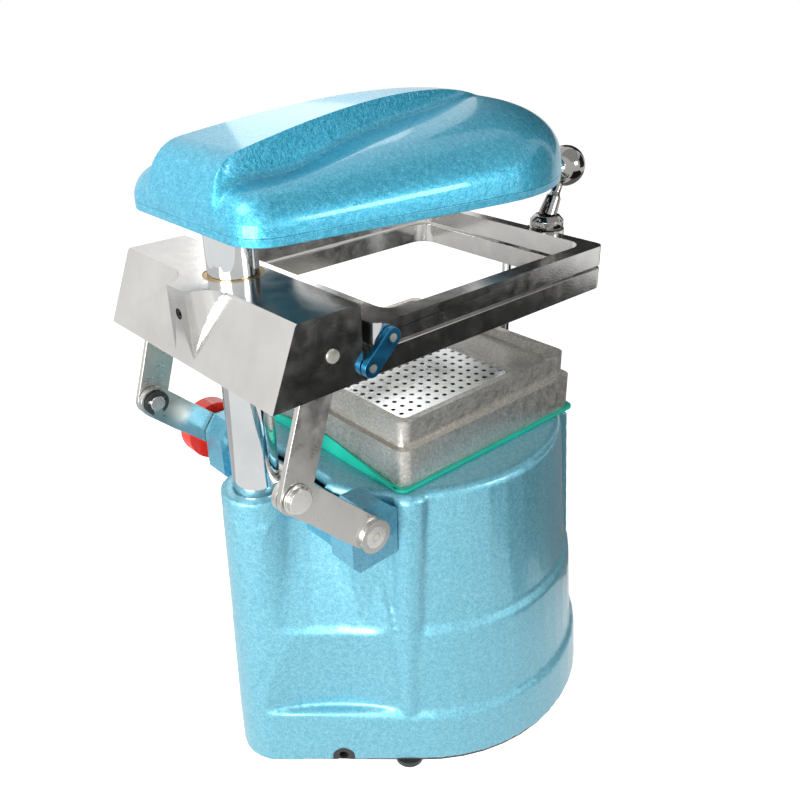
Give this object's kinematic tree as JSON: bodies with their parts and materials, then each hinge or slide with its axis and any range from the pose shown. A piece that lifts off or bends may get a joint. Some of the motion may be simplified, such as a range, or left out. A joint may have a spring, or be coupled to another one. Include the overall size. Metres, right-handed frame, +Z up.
{
  "type": "dental vacuum former",
  "caption": "Benchtop dental vacuum former: swivelling heater dome on a chromed post, sliding double sheet frame with crank and link lift, square perforated vacuum tray on a round stepped body",
  "frame": {"origin": "centre of the overall footprint on the table, between the rubber feet", "axes": "+Z up, -Y towards the front with the switch panel, +Y towards the post, +X towards the side with the lift handle"},
  "size_m": [0.2049, 0.2462, 0.3608],
  "materials": {
    "body_paint": "metallic light blue hammered paint",
    "bracket_paint": "metallic blue hammered paint",
    "plated_casting": "satin plated casting",
    "raw_casting": "grainy sand cast surface",
    "mirror_chrome": "polished",
    "bar_steel": "satin plated",
    "bright_steel": "bright",
    "zinc_screw": "zinc passivated",
    "dark_steel": "blackened",
    "blue_plate": "anodised blue",
    "stainless": "perforated sheet",
    "silicone": "soft teal green",
    "black_rubber": "matt",
    "red_plastic": "glossy",
    "red_rocker": "glossy translucent look",
    "green_rocker": "glossy translucent look",
    "black_plastic": "satin",
    "bronze": "sintered bush",
    "base_steel": "dark paint",
    "motor_metal": "zinc plated",
    "heater_metal": "oxidised",
    "ceramic": "glazed ceramic",
    "reflector_metal": "polished"
  },
  "bodies": {
    "base": {"body_casting": "body_paint", "base_plate": "base_steel", "rubber_feet": "black_rubber", "cord_grommet": "black_rubber", "post": "mirror_chrome", "post_bolt": "dark_steel", "guide_rod": "mirror_chrome", "left_bracket": "bracket_paint", "right_bracket": "bracket_paint", "bracket_screws": "zinc_screw", "motor_can": "motor_metal", "blower_housing": "motor_metal", "inlet_seal": "black_rubber", "blower_studs": "zinc_screw", "tray_gasket": "silicone", "vacuum_tray": "raw_casting", "perforated_plate": "stainless", "heat_switch_case": "black_plastic", "vacuum_switch_case": "black_plastic"},
    "impeller": {"blower_impeller": "reflector_metal"},
    "heat_button": {"heat_rocker": "red_rocker"},
    "vacuum_button": {"vacuum_rocker": "green_rocker"},
    "lift_carriage": {"carriage": "plated_casting", "lower_frame": "plated_casting", "carriage_bush": "bronze", "detent_plunger": "dark_steel", "link_pivot_screws": "bright_steel", "lower_hinge_screws": "zinc_screw"},
    "crank": {"crank_shaft": "bright_steel", "left_crank": "bar_steel", "right_crank": "bar_steel", "crank_pins": "bright_steel", "pin_clips": "dark_steel", "shaft_end_screws": "zinc_screw", "lift_handle": "red_plastic"},
    "links": {"left_link": "bar_steel", "right_link": "bar_steel"},
    "hinge_plates": {"left_hinge_plate": "blue_plate", "right_hinge_plate": "blue_plate"},
    "sheet_frame": {"upper_frame": "plated_casting", "frame_lug": "plated_casting", "upper_hinge_screws": "zinc_screw"},
    "clamp": {"clamp_hub": "bar_steel", "clamp_lever": "plated_casting", "clamp_ball": "mirror_chrome"},
    "dome": {"dome_cover": "body_paint", "dome_rim": "body_paint", "dome_bush": "bronze", "heat_reflector": "reflector_metal", "heater_coil": "heater_metal", "coil_holders": "ceramic"}
  },
  "joints": [
    {"name": "carriage_slide", "type": "slide", "parent": "base", "child": "lift_carriage", "axis": [0, 0, 1], "range_m": [-0.0495, 0.016]},
    {"name": "crank_turn", "type": "hinge", "parent": "base", "child": "crank", "pos_m": [0, 0.0747, 0.1774], "axis": [1, 0, 0], "range_deg": [-50, 17]},
    {"name": "link_turn", "type": "hinge", "parent": "crank", "child": "links", "pos_m": [0, 0.11269, 0.2132], "axis": [1, 0, 0], "range_deg": [-22, 67]},
    {"name": "hinge_plate_swing", "type": "hinge", "parent": "lift_carriage", "child": "hinge_plates", "pos_m": [0, 0.0741, 0.2643], "axis": [-1, 0, 0], "range_deg": [0, 6]},
    {"name": "upper_frame_tilt", "type": "hinge", "parent": "hinge_plates", "child": "sheet_frame", "pos_m": [0, 0.0625, 0.275], "axis": [-1, 0, 0], "range_deg": [0, 8]},
    {"name": "clamp_turn", "type": "hinge", "parent": "sheet_frame", "child": "clamp", "pos_m": [-0.027, -0.094, 0.2817], "axis": [0, 0, -1], "range_deg": [0, 60]},
    {"name": "dome_swivel", "type": "hinge", "parent": "base", "child": "dome", "pos_m": [0, 0.0925, 0.3285], "axis": [0, 0, 1], "range_deg": [-90, 90]},
    {"name": "heat_rocker_press", "type": "hinge", "parent": "base", "child": "heat_button", "pos_m": [-0.022, -0.10846, 0.11779], "axis": [1, 0, 0], "range_deg": [0, 14]},
    {"name": "vacuum_rocker_press", "type": "hinge", "parent": "base", "child": "vacuum_button", "pos_m": [0.022, -0.10846, 0.11779], "axis": [1, 0, 0], "range_deg": [0, 14]},
    {"name": "blower_spin", "type": "hinge", "parent": "base", "child": "impeller", "pos_m": [0, -0.0139, 0.153], "axis": [0, 0, 1], "continuous": true}
  ],
  "couplings": [
    {"joint": "crank_turn", "follows": "carriage_slide", "rad_per_m": 17.5},
    {"joint": "link_turn", "follows": "carriage_slide", "rad_per_m": -23.5}
  ]
}
